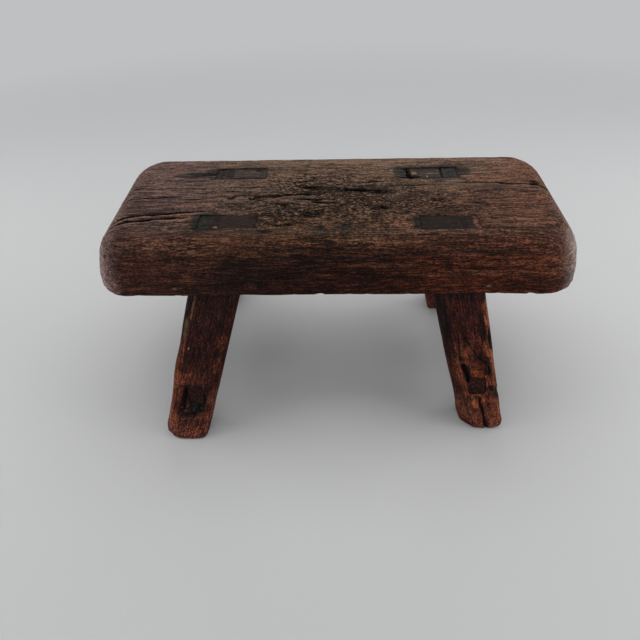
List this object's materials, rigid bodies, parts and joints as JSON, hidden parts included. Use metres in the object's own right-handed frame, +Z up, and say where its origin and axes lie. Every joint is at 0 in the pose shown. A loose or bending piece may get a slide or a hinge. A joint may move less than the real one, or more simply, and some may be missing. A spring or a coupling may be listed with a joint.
{
  "type": "stool",
  "caption": "Low wooden country stool: a thick worn plank on splayed legs with wedged through tenons, and a stretcher at each end.",
  "frame": {"origin": "on the floor under the middle of the stool", "axes": "+X along the seat to the right, +Y to the back, +Z up"},
  "size_m": [0.4, 0.2394, 0.187],
  "materials": {
    "seat_wood": "old worn oil and wax, dark in the grain",
    "leg_wood": "old worn oil and wax, red brown",
    "stretcher_wood": "old worn oil",
    "wedge_wood": "bare end grain, dirty",
    "stretcher_wedge_wood": "worn, paler than the leg"
  },
  "bodies": {
    "root": {"seat": "seat_wood", "front_left_leg": "leg_wood", "front_right_leg": "leg_wood", "back_left_leg": "leg_wood", "back_right_leg": "leg_wood", "left_stretcher": "stretcher_wood", "right_stretcher": "stretcher_wood", "front_left_seat_wedge": "wedge_wood", "front_right_seat_wedge": "wedge_wood", "back_left_seat_wedge": "wedge_wood", "back_right_seat_wedge": "wedge_wood", "front_left_stretcher_wedge": "stretcher_wedge_wood", "front_right_stretcher_wedge": "stretcher_wedge_wood", "back_left_stretcher_wedge": "stretcher_wedge_wood", "back_right_stretcher_wedge": "stretcher_wedge_wood"}
  },
  "joints": []
}
